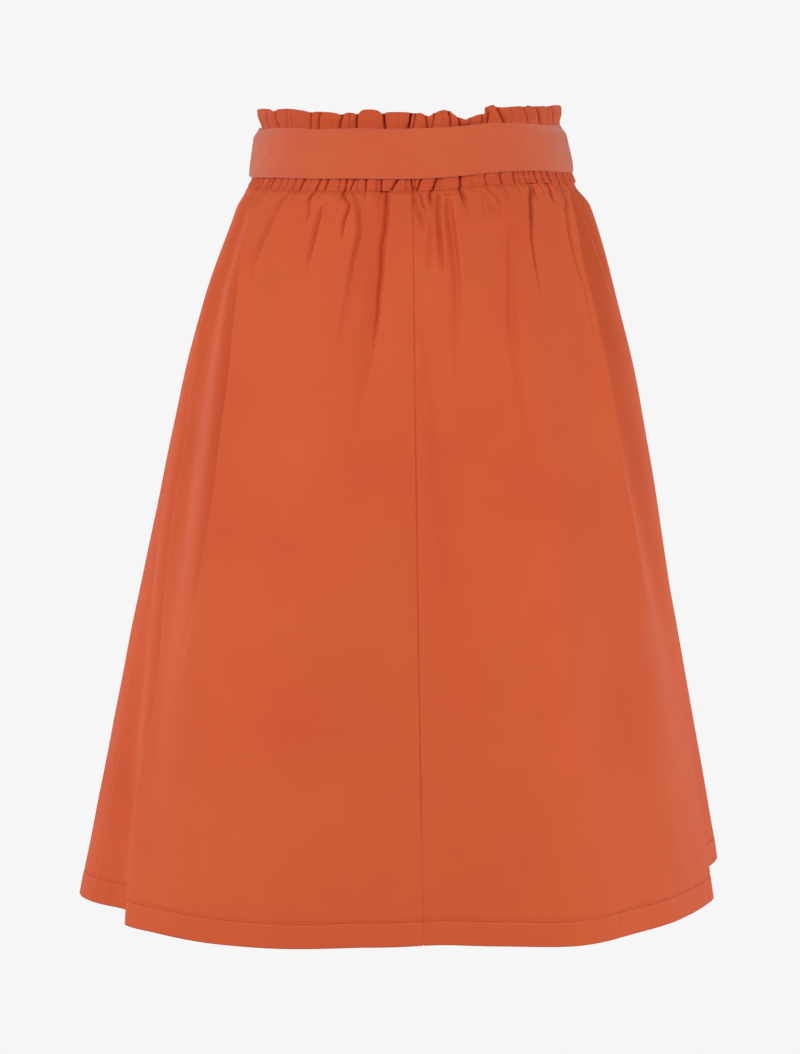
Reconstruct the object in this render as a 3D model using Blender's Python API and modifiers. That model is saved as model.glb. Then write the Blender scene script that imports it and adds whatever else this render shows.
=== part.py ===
"""An A-line skirt with a gathered paperbag waist and a plain sash, in the hollow form it has when worn.

Metres, +Z up. The origin is the middle of the waist, where the wearer holds the skirt.
The side shown in the photograph, the back, faces -Y. Angles are in degrees round the
waist: 0 is that side's centre, +90 is +X, and 180 is the front.
"""

import math
from typing import NamedTuple

import bmesh
import bpy

# Driving dimensions
SASH_TOP = 0.0205
SASH_BOTTOM = -0.0178
CASING_TOP = 0.0195
SEAM_HEIGHT = -0.0275
RUFFLE_TOP = 0.0355
HEM_HEIGHT = -0.6145
HEM_DEPTH = 0.0190

SEAM_GAP = 0.0003
TUCK_START = 0.0040
SASH_CLEARANCE = 0.0005
PANEL_CLOTH = 0.0015
HEM_CLOTH = 0.0030
CASING_CLOTH = 0.0022
SASH_CLOTH = 0.0020

# How the waist sits: higher on the +X side, lower at the front
WAIST_RISE_RIGHT = 0.0085
WAIST_DROP_FRONT = 0.0120

# Where the panels meet, in degrees at the waist and at the hem
CENTRE_SEAM = (0.5, 2.6)
LEFT_SEAM = (-90.0, -75.0)
RIGHT_SEAM = (90.0, 88.0)

# The sash swells over the casing between its edges, and its ends lap at the front
SASH_SWELL = 0.0012
SASH_LAP = (168.0, 194.0)
SASH_LAP_RAMP = 10.0

# How finely the walls are divided: degrees between columns, and where their rows lie
PANEL_COLUMN_STEP = 2.25
PANEL_ROWS_BELOW_SEAM = (0.004, 0.010, 0.019, 0.033, 0.055, 0.090, 0.145, 0.230, 0.340, 0.460)
HEM_STEP = 0.0008
SEAM_STRIP = 0.5
CASING_STRIP = 0.0020
CASING_ROW_UNDER_SASH = -0.0185
RUFFLE_MIDDLE = 0.0280
SASH_COLUMN_STEP = 4.0
SASH_ROWS = (-0.008, 0.010)

SKIRT_ORANGE = (0.64, 0.11, 0.045, 1.0)
COTTON_ROUGHNESS = 0.85


class Section(NamedTuple):
    """A level oval of the plain form, without folds, in metres."""

    height: float
    left: float
    right: float
    back: float
    front: float
    squareness: float


SECTIONS = (
    Section(0.045, 0.1275, 0.1262, 0.0985, 0.0985, 2.1),
    Section(0.020, 0.1262, 0.1240, 0.0965, 0.0965, 2.1),
    Section(-0.018, 0.1314, 0.1328, 0.1000, 0.1000, 2.1),
    Section(-0.028, 0.1362, 0.1368, 0.1025, 0.1025, 2.1),
    Section(-0.040, 0.1425, 0.1424, 0.1080, 0.1080, 2.1),
    Section(-0.058, 0.1492, 0.1482, 0.1160, 0.1150, 2.1),
    Section(-0.120, 0.1698, 0.1645, 0.1330, 0.1310, 2.2),
    Section(-0.203, 0.1895, 0.1835, 0.1460, 0.1440, 2.3),
    Section(-0.372, 0.2195, 0.2145, 0.1730, 0.1700, 2.4),
    Section(-0.6145, 0.2620, 0.2520, 0.2090, 0.2050, 2.5),
)

# Heights at which each long fold is measured
FOLD_HEIGHTS = (-0.045, -0.220, -0.6145)


class Fold(NamedTuple):
    """A fold that runs to the hem: its angle, depth (mm, + stands out) and half width (degrees)
    below the waist, at the hip and at the hem."""

    name: str
    angle: tuple
    depth: tuple
    width: tuple


FOLDS = (
    Fold("left lobe", (-95, -92, -80), (3, 7, 20), (7, 8, 9)),
    Fold("gap behind left edge", (-87, -84, -66.5), (-4, -5, -11), (4, 4, 5)),
    Fold("left edge", (-82, -77, -57.5), (4, 8, 7), (5, 6, 5.5)),
    Fold("inner left gap", (-75, -65, -60), (-5, -7, 0), (4, 5, 6)),
    Fold("inner left edge", (-69, -57, -43), (4, 8, 13), (5, 7, 14)),
    Fold("left front", (-35, -30, -25), (0, 2, 9), (10, 10, 11)),
    Fold("centre trough", (3, 8, 7), (-2, -3, -6), (5, 6, 8)),
    Fold("right front", (40, 37, 33), (1, 4, 12), (8, 9, 9)),
    Fold("right edge", (68, 62, 60), (4, 9, 0), (4, 6, 9)),
    Fold("gap behind right edge", (74, 69, 80), (-7, -8, 0), (4, 5, 6)),
    Fold("right hip", (83, 80, 71), (4, 6, 3), (5, 6, 7)),
    Fold("gap before right lobe", (90, 91, 87), (-3, -4, -7), (4, 5, 6)),
    Fold("right lobe", (98, 100, 107), (3, 5, 28), (7, 8, 9)),
    Fold("front right gap", (118, 124, 126), (-3, -7, -10), (5, 7, 8)),
    Fold("front right swell", (135, 143, 147), (3, 7, 14), (7, 9, 11)),
    Fold("front right trough", (152, 159, 163), (-2, -5, -7), (6, 7, 8)),
    Fold("front centre", (178, 180, 181), (1, 3, 7), (9, 10, 12)),
    Fold("front left trough", (-155, -160, -163), (-3, -5, -8), (6, 7, 8)),
    Fold("front left swell", (-138, -143, -146), (3, 8, 15), (7, 9, 11)),
    Fold("front left gap", (-118, -120, -117), (-4, -7, -12), (5, 7, 8)),
)


class Tuck(NamedTuple):
    """A short trough that the waist gathers press into the cloth under the seam."""

    angle: float
    lean: float  # degrees it drifts over its length
    length: float  # metres
    depth: float  # millimetres
    width: float  # degrees, at its root


BACK_TUCKS = (
    Tuck(-62, 1, 0.045, 2.5, 2.2),
    Tuck(-51, -6, 0.070, 5.0, 2.8),
    Tuck(-40, -3, 0.028, 4.0, 2.0),
    Tuck(-36, -1, 0.065, 3.0, 2.0),
    Tuck(-28, 3, 0.045, 5.0, 2.2),
    Tuck(-22, -4, 0.170, 5.0, 3.0),
    Tuck(-11, -2, 0.150, 7.0, 2.8),
    Tuck(3, 3, 0.035, 3.0, 2.0),
    Tuck(12, -1, 0.080, 4.0, 2.2),
    Tuck(16, 4, 0.180, 5.0, 2.6),
    Tuck(22, 1, 0.020, 3.0, 2.0),
    Tuck(31, 9, 0.040, 3.0, 2.2),
    Tuck(37, -4, 0.150, 3.5, 5.0),
    Tuck(50, -6, 0.090, 7.0, 2.6),
    Tuck(63, -1, 0.080, 3.0, 2.0),
)
# The hidden side has like tucks, turned half round the waist and passed on by a few places
FRONT_TUCK_SHIFT = 4
FRONT_TUCK_TURN = 178.0


class Pleat(NamedTuple):
    """One gather of the casing: where it lies and how deep it is in the casing and in the ruffle."""

    angle: float
    casing: float  # millimetres
    ruffle: float  # millimetres


BACK_PLEATS = (
    Pleat(-86, 1.5, 2.5), Pleat(-81, 1.5, 0.0), Pleat(-76, 1.8, 3.5), Pleat(-71, 1.5, 0.0),
    Pleat(-67, 1.5, 0.0), Pleat(-63, 1.9, 4.0), Pleat(-58, 1.5, 3.0), Pleat(-53, 1.3, 0.0),
    Pleat(-49, 1.8, 0.0), Pleat(-45, 1.0, 4.0), Pleat(-41, 1.8, 3.0), Pleat(-37, 1.8, 0.0),
    Pleat(-32, 1.4, 3.5), Pleat(-29, 1.8, 0.0), Pleat(-26, 1.4, 4.5), Pleat(-20, 1.6, 0.0),
    Pleat(-14, 2.0, 5.0), Pleat(-8, 2.0, 0.0), Pleat(-2, 1.6, 5.0), Pleat(2, 2.0, 2.0),
    Pleat(7, 1.0, 4.0), Pleat(11, 2.0, 0.0), Pleat(20, 2.2, 5.0), Pleat(27, 1.2, 3.5),
    Pleat(33, 1.9, 2.5), Pleat(38, 1.9, 5.0), Pleat(42, 1.2, 0.0), Pleat(46, 1.8, 0.0),
    Pleat(51, 1.5, 4.0), Pleat(55, 1.7, 0.0), Pleat(60, 1.7, 4.5), Pleat(65, 1.8, 0.0),
    Pleat(69, 1.5, 4.5), Pleat(74, 1.5, 0.0), Pleat(79, 1.6, 3.0), Pleat(85, 1.6, 0.0),
)
FRONT_PLEAT_SHIFT = 7
FRONT_PLEAT_TURN = 180.0
PLEAT_WIDTH = 1.5
RUFFLE_PLEAT_WIDTH = 2.6
# The crests of the ruffle swell out by this share of its troughs
RUFFLE_CREST = 0.35


class EdgeWave(NamedTuple):
    """A dip (-) or rise (+) of the ruffle's top edge."""

    angle: float
    rise: float  # millimetres
    width: float  # degrees


EDGE_WAVES = (
    EdgeWave(-31, -3.0, 6), EdgeWave(-13, -2.2, 4), EdgeWave(1, -3.5, 5), EdgeWave(23, -9.5, 5.5),
    EdgeWave(70, -5.0, 26), EdgeWave(112, -3.0, 8), EdgeWave(130, -5.0, 6), EdgeWave(152, 1.0, 7),
    EdgeWave(-168, -3.0, 5), EdgeWave(-140, 1.0, 8), EdgeWave(-115, -4.0, 6),
)


def smooth_step(x):
    """0 below 0, 1 above 1, and an even rise between."""
    x = min(max(x, 0.0), 1.0)
    return x * x * (3 - 2 * x)


def blend_through(x, places, values):
    """A smooth curve through values at falling places, level beyond its ends."""
    if x >= places[0]:
        return values[0]
    if x <= places[-1]:
        return values[-1]
    last = len(places) - 1
    i = next(k for k in range(last) if x >= places[k + 1])

    def slope(k):
        low, high = max(k - 1, 0), min(k + 1, last)
        return (values[high] - values[low]) / (places[high] - places[low])

    span = places[i + 1] - places[i]
    t = (x - places[i]) / span
    return (
        values[i] * (1 + 2 * t) * (1 - t) ** 2
        + slope(i) * span * t * (1 - t) ** 2
        + values[i + 1] * t * t * (3 - 2 * t)
        + slope(i + 1) * span * t * t * (t - 1)
    )


def angle_between(a, b):
    """The turn from b to a, from -180 to 180 degrees."""
    return (a - b + 180.0) % 360.0 - 180.0


def bump(distance, width):
    """1 at the middle of a fold, fading out over about two widths."""
    return math.exp(-((distance / width) ** 2))


def plain_radius(angle, height):
    """The oval's radius at an angle, without folds."""
    heights = [s.height for s in SECTIONS]
    turn = math.radians(angle)
    across, along = math.sin(turn), math.cos(turn)
    side = [s.right if across > 0 else s.left for s in SECTIONS]
    face = [s.back if along > 0 else s.front for s in SECTIONS]
    half_width = blend_through(height, heights, side)
    half_depth = blend_through(height, heights, face)
    power = blend_through(height, heights, [s.squareness for s in SECTIONS])
    return (abs(across / half_width) ** power + abs(along / half_depth) ** power) ** (-1 / power)


def shuffled_front(rows, shift, turn):
    """The hidden side's rows: the shown side's places turned half round, with other rows' sizes."""
    return [
        rows[(i + shift) % len(rows)]._replace(angle=turn - row.angle)
        for i, row in enumerate(rows)
    ]


TUCKS = [*BACK_TUCKS, *shuffled_front(BACK_TUCKS, FRONT_TUCK_SHIFT, FRONT_TUCK_TURN)]
PLEATS = [*BACK_PLEATS, *shuffled_front(BACK_PLEATS, FRONT_PLEAT_SHIFT, FRONT_PLEAT_TURN)]


def waist_lift(angle):
    """How far the waist stands above its mean height at an angle."""
    turn = math.radians(angle)
    rise = WAIST_RISE_RIGHT * smooth_step(math.sin(turn))
    drop = WAIST_DROP_FRONT * smooth_step(-math.cos(turn))
    return rise - drop


def long_fold_relief(angle, height):
    """How far the folds that run to the hem move the cloth outwards."""
    fade = smooth_step((SEAM_HEIGHT - height) / 0.02)
    total = 0.0
    for fold in FOLDS:
        middle = blend_through(height, FOLD_HEIGHTS, fold.angle)
        depth = blend_through(height, FOLD_HEIGHTS, fold.depth)
        width = blend_through(height, FOLD_HEIGHTS, fold.width)
        total += depth * bump(angle_between(angle, middle), width)
    return fade * total / 1000


def tuck_relief(angle, height):
    """How far the short tucks under the seam press the cloth in."""
    below = SEAM_HEIGHT - height
    total = 0.0
    for tuck in TUCKS:
        share = below / tuck.length
        if share >= 1:
            continue
        strength = smooth_step((below - TUCK_START) / 0.009) * (1 - smooth_step(share)) ** 0.8
        middle = tuck.angle + tuck.lean * share
        width = tuck.width * (1 + share)
        total -= tuck.depth * strength * bump(angle_between(angle, middle), width)
    return total / 1000


def pleat_relief(angle, height):
    """How far the casing's gathers and the ruffle's waves move the cloth."""
    upward = smooth_step((height - CASING_TOP) / (RUFFLE_TOP - CASING_TOP))
    crest = 0.0
    trough = 0.0
    for pleat in PLEATS:
        turn = angle_between(angle, pleat.angle)
        trough += pleat.casing * (1 - upward) * bump(turn, PLEAT_WIDTH)
        trough += pleat.ruffle * upward * bump(turn, RUFFLE_PLEAT_WIDTH)
        crest += RUFFLE_CREST * pleat.ruffle * upward * bump(turn, 2.5 * RUFFLE_PLEAT_WIDTH)
    return (crest - trough) / 1000


def place(radius, angle, height):
    """A point at a radius from the waist's axis."""
    turn = math.radians(angle)
    return (radius * math.sin(turn), -radius * math.cos(turn), height)


def panel_point(angle, height):
    """A point of a panel. The waist's tilt fades out towards the level hem."""
    share = (height - HEM_HEIGHT) / (SEAM_HEIGHT - HEM_HEIGHT)
    radius = plain_radius(angle, height)
    radius += long_fold_relief(angle, height) + tuck_relief(angle, height)
    return place(radius, angle, height + share * waist_lift(angle))


def ruffle_edge(angle):
    """The height of the ruffle's top edge above its mean."""
    return sum(w.rise * bump(angle_between(angle, w.angle), w.width) for w in EDGE_WAVES) / 1000


def waistband_point(angle, height):
    """A point of the casing or its ruffle. It ends upright at the seam, and the ruffle's dips
    grow from the casing up."""
    radius = plain_radius(angle, max(height, SEAM_HEIGHT + CASING_STRIP))
    radius += pleat_relief(angle, height)
    share = max(0.0, (height - CASING_TOP) / (RUFFLE_TOP - CASING_TOP))
    return place(radius, angle, height + share * ruffle_edge(angle) + waist_lift(angle))


def sash_point(angle, height):
    """A point of the sash's outer face. Its last stretch lies over its first at the front."""
    middle = (SASH_TOP + SASH_BOTTOM) / 2
    half = (SASH_TOP - SASH_BOTTOM) / 2
    swell = SASH_SWELL * (1 - abs((height - middle) / half) ** 3)
    over = smooth_step((angle - SASH_LAP[0] + 2) / SASH_LAP_RAMP + 1)
    radius = plain_radius(angle, height) + SASH_CLEARANCE + SASH_CLOTH
    radius += swell + over * (SASH_CLOTH + SASH_CLEARANCE)
    return place(radius, angle, height + waist_lift(angle))


def even_steps(start, end, step):
    """Values from start to end, about a step apart."""
    count = max(1, round(abs(end - start) / step))
    return [start + (end - start) * i / count for i in range(count + 1)]


def cotton_material(name):
    """The skirt's plain dyed cotton."""
    material = bpy.data.materials.new(name)
    material.use_nodes = True
    shader = material.node_tree.nodes["Principled BSDF"]
    shader.inputs["Base Color"].default_value = SKIRT_ORANGE
    shader.inputs["Roughness"].default_value = COTTON_ROUGHNESS
    shader.inputs["Metallic"].default_value = 0.0
    return material


def cloth_wall(name, points, thickness, thick_rows=0, thick=None):
    """A wall of cloth from rows of outer points, lowest row first, each from -X round to +X.
    The lowest rows can be thicker, as where a hem is turned up inside."""
    rows, columns = len(points), len(points[0])
    mesh_maker = bmesh.new()
    bmesh.ops.create_grid(mesh_maker, x_segments=columns - 1, y_segments=rows - 1, size=0.5)
    mesh_maker.verts.index_update()
    doubled = set()
    for vertex in mesh_maker.verts:
        column = round((vertex.co.x + 0.5) * (columns - 1))
        row = round((vertex.co.y + 0.5) * (rows - 1))
        vertex.co = points[row][column]
        if row < thick_rows:
            doubled.add(vertex.index)
    mesh = bpy.data.meshes.new(name)
    mesh_maker.to_mesh(mesh)
    mesh_maker.free()
    wall = bpy.data.objects.new(name, mesh)
    parts.objects.link(wall)
    solidify = wall.modifiers.new("cloth", "SOLIDIFY")
    solidify.offset = -1.0
    solidify.thickness = thickness
    if thick_rows:
        solidify.thickness = thick
        layers = wall.vertex_groups.new(name="layers")
        for vertex in mesh.vertices:
            share = 1.0 if vertex.index in doubled else thickness / thick
            layers.add([vertex.index], share, "REPLACE")
        solidify.vertex_group = "layers"
    mesh.materials.append(cotton_material(name))
    mesh.shade_smooth()
    return wall


def panel(name, left_seam, right_seam):
    """A skirt panel between two seams, with its hem turned up inside."""
    hem_fold = HEM_HEIGHT + HEM_DEPTH
    top = SEAM_HEIGHT - SEAM_GAP / 2
    heights = [HEM_HEIGHT, hem_fold, hem_fold + HEM_STEP]
    heights += [top - fall for fall in reversed(PANEL_ROWS_BELOW_SEAM)] + [top]
    widest = max(right_seam[0] - left_seam[0], right_seam[1] - left_seam[1])
    shares = even_steps(0.0, 1.0, PANEL_COLUMN_STEP / widest)
    # A narrow strip beside each seam keeps the two panels' edges parallel
    strip = SEAM_STRIP / widest
    shares = [0.0, strip, *shares[1:-1], 1 - strip, 1.0]
    rows = []
    for height in heights:
        fall = (top - height) / (top - HEM_HEIGHT)
        left = left_seam[0] + (left_seam[1] - left_seam[0]) * fall
        right = right_seam[0] + (right_seam[1] - right_seam[0]) * fall
        left += math.degrees(SEAM_GAP / 2 / plain_radius(left, height))
        right -= math.degrees(SEAM_GAP / 2 / plain_radius(right, height))
        rows.append([panel_point(left + (right - left) * share, height) for share in shares])
    return cloth_wall(name, rows, PANEL_CLOTH, thick_rows=2, thick=HEM_CLOTH)


def waistband(name, left, right):
    """Half of the elastic casing with its ruffle, with columns on each pleat's trough and crest."""
    troughs = [left + (p.angle - left) % 360.0 for p in PLEATS]
    troughs = sorted(a for a in troughs if a < right)
    edge = math.degrees(SEAM_GAP / 2 / plain_radius(left, SEAM_HEIGHT))
    first, last = left + edge, right - edge
    marks = [first + SEAM_STRIP, *[a for a in troughs if left + 1 < a < right - 1], last - SEAM_STRIP]
    angles = [first]
    for here, after in zip(marks, marks[1:]):
        gap = after - here
        angles += [here, here + 0.32 * gap, here + 0.68 * gap]
    angles += [marks[-1], last]
    bottom = SEAM_HEIGHT + SEAM_GAP / 2
    casing_rows = (bottom, SEAM_HEIGHT + CASING_STRIP, CASING_ROW_UNDER_SASH, CASING_TOP)
    heights = (*casing_rows, RUFFLE_MIDDLE, RUFFLE_TOP)
    rows = [[waistband_point(angle, height) for angle in angles] for height in heights]
    return cloth_wall(name, rows, CASING_CLOTH)


def sash():
    """The sash: one turned strip round the casing, its ends overlapping at the front."""
    angles = even_steps(SASH_LAP[0] - 360.0, SASH_LAP[1], SASH_COLUMN_STEP)
    heights = (SASH_BOTTOM, *SASH_ROWS, SASH_TOP)
    rows = [[sash_point(angle, height) for angle in angles] for height in heights]
    return cloth_wall("sash", rows, SASH_CLOTH)


def clear_scene():
    """Removes what a new file holds."""
    for thing in list(bpy.data.objects):
        bpy.data.objects.remove(thing)


clear_scene()
parts = bpy.data.collections.new("a_line_skirt")
bpy.context.scene.collection.children.link(parts)

panel("back_left", LEFT_SEAM, CENTRE_SEAM)
panel("back_right", CENTRE_SEAM, RIGHT_SEAM)
panel("front", RIGHT_SEAM, tuple(angle + 360.0 for angle in LEFT_SEAM))
waistband("waistband_back", LEFT_SEAM[0], RIGHT_SEAM[0])
waistband("waistband_front", RIGHT_SEAM[0], LEFT_SEAM[0] + 360.0)
sash()
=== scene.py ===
"""Looks of an A-line skirt with a gathered paperbag waist and a plain sash, worn and hollow.

Metres, +Z up, in the part's own frame: the origin is the middle of the waist and the side with
the centre seam faces -Y. Angles are in degrees round the waist, 0 at that side's centre and
+90 at +X. Each cloth piece is a fine wall on the plain form of its solid.
"""

import math
from typing import NamedTuple

import bpy
import numpy as np
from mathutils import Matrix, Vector


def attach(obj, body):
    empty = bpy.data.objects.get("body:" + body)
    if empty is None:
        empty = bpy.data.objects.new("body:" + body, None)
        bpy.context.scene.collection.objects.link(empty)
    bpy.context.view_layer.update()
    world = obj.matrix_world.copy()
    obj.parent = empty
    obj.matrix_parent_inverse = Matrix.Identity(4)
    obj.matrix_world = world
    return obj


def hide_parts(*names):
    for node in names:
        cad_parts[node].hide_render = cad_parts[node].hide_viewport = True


# Sizes of the skirt, in metres, as in the part but for the waist's smaller rise to the right
SASH_TOP = 0.0205
SASH_BOTTOM = -0.0178
CASING_TOP = 0.0195
SEAM_HEIGHT = -0.0275
RUFFLE_TOP = 0.0355
HEM_HEIGHT = -0.6145
HEM_DEPTH = 0.0190
WAIST_RISE_RIGHT = 0.0062
WAIST_DROP_FRONT = 0.0120
CENTRE_SEAM = (0.5, 2.6)
LEFT_SEAM = (-90.0, -75.0)
RIGHT_SEAM = (90.0, 88.0)
SASH_SWELL = 0.0012
SASH_OFFSET = 0.0025
SASH_LAP = (168.0, 194.0)
SASH_LAP_RAMP = 10.0
SASH_LAP_LIFT = 0.0025
SASH_PINCH = 0.0028
SASH_MEAN_RADIUS = 0.118
RUFFLE_FLARE = 0.0016
RIGHT_FLARE = 0.0013
STITCHED_ROWS = (0.0018, 0.0062)
STITCHED_ROW_DEPTH = 0.00025

# Cloth, in metres
CLOTH = 0.0006
TURNED_HEM = 0.0013
CASING_WALL = 0.0018
RUFFLE_WALL = 0.0012
SASH_WALL = 0.0016
UV_RADIUS = 0.2

# Under the casing, in metres: how far the gathered cloth puffs out, over what length it does so
# and goes back, how far the seam is drawn in, and how much deeper the gathers run on
PUFF = 0.0030
PUFF_START = 0.0022
PUFF_END = 0.022
SEAM_NIP = 0.0012
RUN_STRENGTH = 1.4

# The seams between the panels, with the depths of their grooves, and the hem's groove and puckers
SEAM_GROOVES = ((CENTRE_SEAM, 0.0009), (LEFT_SEAM, 0.0004), (RIGHT_SEAM, 0.0004))
HEM_GROOVE = 0.0008
HEM_PUCKER = 0.0007

# Dyes, as linear colours; the gathered pair is the skirt's dye made darker, as painted shade of the gathers
DEEP_DYE = (0.640, 0.088, 0.027)
LIGHT_DYE = (0.700, 0.118, 0.034)
SASH_DEEP_DYE = (0.620, 0.090, 0.029)
SASH_LIGHT_DYE = (0.680, 0.118, 0.036)
GATHERED_DYE_AND_SHADE_DEEP = (0.590, 0.072, 0.021)
GATHERED_DYE_AND_SHADE_LIGHT = (0.640, 0.098, 0.028)
THREAD_DYE = (0.500, 0.075, 0.035)
HEM_THREAD_DYE = (0.380, 0.048, 0.022)

# The camera's place, how many degrees it looks down, and its focal length in the photo's pixels
CAMERA_PLACE = (-0.0092, -2.40, 0.030)
CAMERA_DOWN = 8.0957
PHOTO_HEIGHT = 1054
FOCAL_PIXELS = 2880

# The studio: the floor's height, how bright its backdrop and its fill are, and its soft lights
# as name, place, size, watts and the point each faces
FLOOR = -0.80
BACKDROP_LIGHT = 0.922
FILL_LIGHT = 0.095
STUDIO_LIGHTS = (
    ("left front light", (-2.1, -3.1, 1.1), (1.2, 1.4), 84.0, (0.0, 0.0, -0.35)),
    ("right front light", (1.4, -2.0, 0.1), (0.9, 1.1), 22.0, (0.0, 0.0, -0.4)),
    ("left light", (-1.7, -0.5, -0.25), (0.5, 1.0), 7.0, (-0.1, 0.0, -0.3)),
    ("right light", (1.7, -0.5, -0.5), (0.5, 0.7), 9.0, (0.2, 0.0, -0.5)),
    ("left back light", (-2.4, 1.5, -0.1), (1.0, 1.6), 25.0, (-0.1, 0.0, -0.3)),
    ("right back light", (2.4, 1.5, -0.1), (1.0, 1.6), 27.0, (0.1, 0.0, -0.3)),
)


class Section(NamedTuple):
    """A level oval of the plain form, without folds, in metres."""

    height: float
    left: float
    right: float
    back: float
    front: float
    squareness: float


SECTIONS = (
    Section(0.045, 0.1275, 0.1262, 0.0985, 0.0985, 2.1),
    Section(0.020, 0.1262, 0.1240, 0.0965, 0.0965, 2.1),
    Section(-0.018, 0.1314, 0.1316, 0.1000, 0.1000, 2.1),
    Section(-0.028, 0.1362, 0.1358, 0.1025, 0.1025, 2.1),
    Section(-0.040, 0.1425, 0.1416, 0.1080, 0.1080, 2.1),
    Section(-0.058, 0.1492, 0.1482, 0.1160, 0.1150, 2.1),
    Section(-0.120, 0.1698, 0.1645, 0.1330, 0.1310, 2.2),
    Section(-0.203, 0.1895, 0.1835, 0.1460, 0.1440, 2.3),
    Section(-0.372, 0.2195, 0.2145, 0.1730, 0.1700, 2.4),
    Section(-0.6145, 0.2620, 0.2520, 0.2090, 0.2050, 2.5),
)

FOLD_HEIGHTS = (-0.045, -0.220, -0.6145)


class Fold(NamedTuple):
    """A fold that runs to the hem: its angle, depth (mm, + stands out) and half width (degrees)
    below the waist, at the hip and at the hem."""

    name: str
    angle: tuple
    depth: tuple
    width: tuple


FOLDS = (
    Fold("left lobe", (-95, -92, -80), (3, 7, 20), (7, 8, 9)),
    Fold("gap behind left edge", (-87, -84, -66.5), (-4, -5, -11), (4, 4, 5)),
    Fold("left edge", (-82, -77, -57.5), (4, 8, 7), (5, 6, 5.5)),
    Fold("inner left gap", (-75, -65, -60), (-5, -3.5, 0), (4, 5, 6)),
    Fold("inner left edge", (-69, -57, -43), (4, 8, 13), (5, 7, 14)),
    Fold("left front", (-35, -30, -25), (0, 2, 9), (10, 10, 11)),
    Fold("centre trough", (3, 8, 7), (-2, -3, -6), (5, 6, 8)),
    Fold("right front", (40, 37, 33), (1, 4, 12), (8, 9, 9)),
    Fold("right edge", (68, 62, 60), (4, 9, 0), (4, 6, 9)),
    Fold("gap behind right edge", (74, 69, 80), (-7, -8, 0), (4, 5, 6)),
    Fold("right hip", (84, 82, 76), (7.5, 8.5, 5), (6, 7, 9)),
    Fold("gap before right lobe", (90, 91, 87), (-3, -4, -7), (4, 5, 6)),
    Fold("right lobe", (98, 100, 107), (3, 5, 28), (7, 8, 9)),
    Fold("front right gap", (118, 124, 126), (-3, -7, -10), (5, 7, 8)),
    Fold("front right swell", (135, 143, 147), (3, 7, 14), (7, 9, 11)),
    Fold("front right trough", (152, 159, 163), (-2, -5, -7), (6, 7, 8)),
    Fold("front centre", (178, 180, 181), (1, 3, 7), (9, 10, 12)),
    Fold("front left trough", (-155, -160, -163), (-3, -5, -8), (6, 7, 8)),
    Fold("front left swell", (-138, -143, -146), (3, 8, 15), (7, 9, 11)),
    Fold("front left gap", (-118, -120, -117), (-4, -7, -12), (5, 7, 8)),
)


class Edge(NamedTuple):
    """A fold's edge: a wall between a ridge and a valley, given along its length at distances
    below the seam (mm) by its angle (degrees) and its strength. The ridge lies to the right (side
    1) or to the left (side -1), with its height and the valley's depth (mm), how far each fades
    out (mm), and the wall's half width (mm)."""

    side: int
    below: tuple
    angle: tuple
    strength: tuple
    rise: float
    rise_fade: float
    sink: float
    sink_fade: float
    wall: float


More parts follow.
